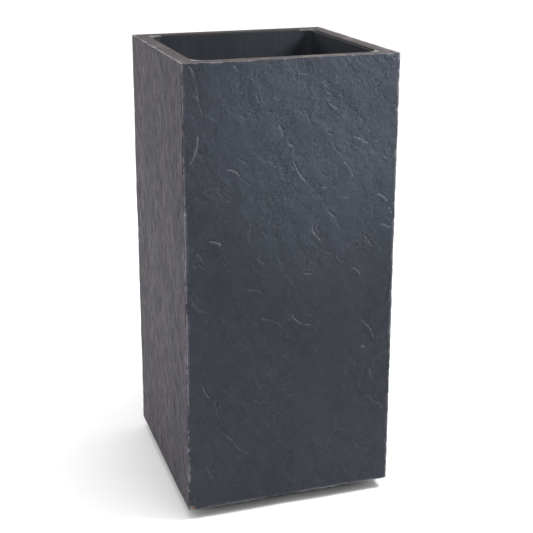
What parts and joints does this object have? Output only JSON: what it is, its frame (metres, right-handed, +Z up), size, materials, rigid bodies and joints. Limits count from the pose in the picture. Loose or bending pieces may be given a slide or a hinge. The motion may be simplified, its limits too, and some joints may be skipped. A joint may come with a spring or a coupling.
{
  "type": "tall square planter",
  "caption": "Tall square planter of riven slate slabs round a dark moulded tank, with a recessed foot, a drain plug, and a lift-out shelf and planting insert with a folding wire bail.",
  "frame": {"origin": "middle of the foot, at ground level", "axes": "+Z up, the front faces -Y, +X to the right of the front"},
  "size_m": [0.328, 0.328, 0.7],
  "materials": {
    "riven_slate": "matte",
    "joint_sealant": "matte",
    "corner_mortar": "matte",
    "tank_gelcoat": "satin",
    "pad_rubber": "matte",
    "plug_rubber": "matte",
    "ledge_aluminium": "satin",
    "screw_steel": "satin",
    "plug_nylon": "matte",
    "shelf_board": "matte",
    "insert_plastic": "satin",
    "bail_wire": "satin"
  },
  "bodies": {
    "planter": {"slate_front": "riven_slate", "slate_back": "riven_slate", "slate_left": "riven_slate", "slate_right": "riven_slate", "corner_seal_front_left": "joint_sealant", "corner_seal_front_right": "joint_sealant", "corner_seal_back_left": "joint_sealant", "corner_seal_back_right": "joint_sealant", "corner_fill_front_left": "corner_mortar", "corner_fill_front_right": "corner_mortar", "corner_fill_back_left": "corner_mortar", "corner_fill_back_right": "corner_mortar", "inner_tank": "tank_gelcoat", "foot_frame": "tank_gelcoat", "foot_pad_front_left": "pad_rubber", "foot_pad_front_right": "pad_rubber", "foot_pad_back_left": "pad_rubber", "foot_pad_back_right": "pad_rubber", "ledge_front": "ledge_aluminium", "ledge_back": "ledge_aluminium", "ledge_left": "ledge_aluminium", "ledge_right": "ledge_aluminium", "ledge_screws": "screw_steel", "wall_plugs": "plug_nylon"},
    "shelf": {"shelf": "shelf_board"},
    "insert": {"planting_insert": "insert_plastic"},
    "bail": {"insert_bail": "bail_wire"},
    "drain_plug": {"drain_plug": "plug_rubber"}
  },
  "joints": [
    {"name": "shelf_lift", "type": "slide", "parent": "planter", "child": "shelf", "axis": [0, 0, 1], "range_m": [0, 0.4]},
    {"name": "insert_lift", "type": "slide", "parent": "shelf", "child": "insert", "axis": [0, 0, 1], "range_m": [0, 0.4]},
    {"name": "bail_fold", "type": "hinge", "parent": "insert", "child": "bail", "pos_m": [0, 0, 0.63], "axis": [1, 0, 0], "range_deg": [0, 175.5]},
    {"name": "plug_pull", "type": "slide", "parent": "planter", "child": "drain_plug", "axis": [0, 0, 1], "range_m": [0, 0.06]}
  ]
}
